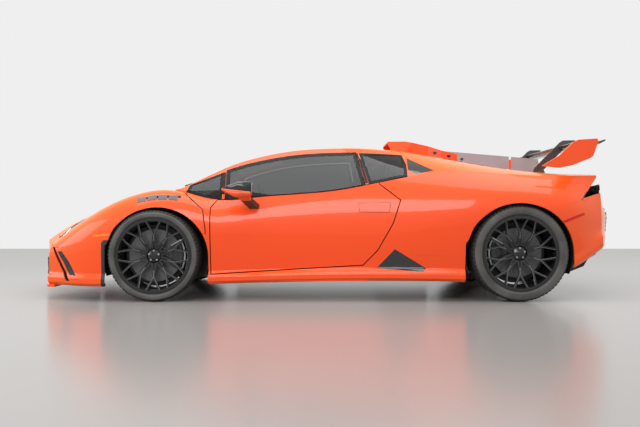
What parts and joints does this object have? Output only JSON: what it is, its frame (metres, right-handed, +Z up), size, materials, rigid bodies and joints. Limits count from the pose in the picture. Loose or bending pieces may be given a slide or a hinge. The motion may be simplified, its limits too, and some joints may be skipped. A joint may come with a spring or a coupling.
{
  "type": "mid-engined supercar",
  "caption": "Low mid-engined two-seat supercar with a hinged front clamshell, doors, an engine lid with roof scoop and fin, a rear wing, steered front wheels and turning wheels.",
  "frame": {"origin": "on the floor, below the middle of the car's length and width", "axes": "+X to the tail, +Y to the car's right, +Z up"},
  "size_m": [4.549, 2.192, 1.2131],
  "materials": {
    "orange_paint": "glossy metallic orange lacquer",
    "black_gloss": "gloss black plastic",
    "black_matte": "textured black plastic",
    "carbon": "satin woven carbon",
    "tinted_glass": "tinted glass",
    "windscreen_glass": "clear laminated glass",
    "lamp_clear": "clear lamp cover over chrome",
    "lamp_red": "red lamp lens",
    "tyre": "tyre rubber",
    "rim_black": "gloss black painted alloy",
    "disc_steel": "machined carbon-ceramic disc",
    "alloy": "cast alloy",
    "seat_cloth": "black microfibre",
    "exhaust_steel": "heat-tinted steel"
  },
  "bodies": {
    "chassis": {"arch_liners": "black_matte", "cowl_panels": "orange_paint", "dashboard": "black_matte", "deck_fin": "carbon", "diffuser": "black_matte", "engine_block": "alloy", "exhausts": "exhaust_steel", "front_subframe": "black_matte", "quarter_glass": "tinted_glass", "rear_bumper": "orange_paint", "rear_deck": "orange_paint", "rear_grille": "black_matte", "rear_quarter_left": "orange_paint", "rear_quarter_right": "orange_paint", "rear_subframe": "black_matte", "rear_uprights": "alloy", "rear_wing": "carbon", "roof_frame": "orange_paint", "seats": "seat_cloth", "shoulder_panes": "black_gloss", "sill_intakes": "black_gloss", "sill_left": "orange_paint", "sill_right": "orange_paint", "steering_wheel": "black_matte", "tail_lamps": "lamp_red", "tub": "carbon", "windscreen": "windscreen_glass", "wing_ends": "orange_paint", "wing_struts": "carbon"},
    "front_clamshell": {"front_clamshell": "orange_paint", "front_splitter": "orange_paint", "nose_grilles": "black_matte", "headlamps": "lamp_clear", "fender_louvres": "black_gloss", "arch_trims": "black_matte"},
    "door_left": {"door_panel_left": "orange_paint", "door_glass_left": "tinted_glass", "mirror_left": "black_gloss"},
    "door_right": {"door_panel_right": "orange_paint", "door_glass_right": "tinted_glass", "mirror_right": "black_gloss"},
    "engine_lid": {"engine_lid": "orange_paint", "lid_fin": "carbon"},
    "knuckle_front_left": {"knuckle_front_left": "alloy"},
    "knuckle_front_right": {"knuckle_front_right": "alloy"},
    "wheel_front_left": {"tyre_front_left": "tyre", "rim_front_left": "rim_black", "disc_front_left": "disc_steel"},
    "wheel_front_right": {"tyre_front_right": "tyre", "rim_front_right": "rim_black", "disc_front_right": "disc_steel"},
    "wheel_rear_left": {"tyre_rear_left": "tyre", "rim_rear_left": "rim_black", "disc_rear_left": "disc_steel"},
    "wheel_rear_right": {"tyre_rear_right": "tyre", "rim_rear_right": "rim_black", "disc_rear_right": "disc_steel"}
  },
  "joints": [
    {"name": "clamshell_hinge", "type": "hinge", "parent": "chassis", "child": "front_clamshell", "pos_m": [-2.104, 0, 0.165], "axis": [0, -1, 0], "range_deg": [0, 38]},
    {"name": "door_left_hinge", "type": "hinge", "parent": "chassis", "child": "door_left", "pos_m": [-0.706, -0.911, 0.46], "axis": [0, 0, -1], "range_deg": [0, 62]},
    {"name": "door_right_hinge", "type": "hinge", "parent": "chassis", "child": "door_right", "pos_m": [-0.706, 0.911, 0.46], "axis": [0, 0, 1], "range_deg": [0, 62]},
    {"name": "engine_lid_hinge", "type": "hinge", "parent": "chassis", "child": "engine_lid", "pos_m": [0.56, 0, 1.13164], "axis": [0, -1, 0], "range_deg": [0, 38]},
    {"name": "steer_left", "type": "hinge", "parent": "chassis", "child": "knuckle_front_left", "pos_m": [-1.19, -0.774, 0.3275], "axis": [0, 0, 1], "range_deg": [-30, 30]},
    {"name": "steer_right", "type": "hinge", "parent": "chassis", "child": "knuckle_front_right", "pos_m": [-1.19, 0.774, 0.3275], "axis": [0, 0, 1], "range_deg": [-30, 30]},
    {"name": "spin_front_left", "type": "hinge", "parent": "knuckle_front_left", "child": "wheel_front_left", "pos_m": [-1.19, -0.834, 0.3275], "axis": [0, 1, 0], "continuous": true},
    {"name": "spin_rear_left", "type": "hinge", "parent": "chassis", "child": "wheel_rear_left", "pos_m": [1.43, -0.81, 0.3455], "axis": [0, 1, 0], "continuous": true},
    {"name": "spin_front_right", "type": "hinge", "parent": "knuckle_front_right", "child": "wheel_front_right", "pos_m": [-1.19, 0.834, 0.3275], "axis": [0, 1, 0], "continuous": true},
    {"name": "spin_rear_right", "type": "hinge", "parent": "chassis", "child": "wheel_rear_right", "pos_m": [1.43, 0.81, 0.3455], "axis": [0, 1, 0], "continuous": true}
  ],
  "couplings": [
    {"joint": "steer_right", "follows": "steer_left", "ratio": 1}
  ]
}
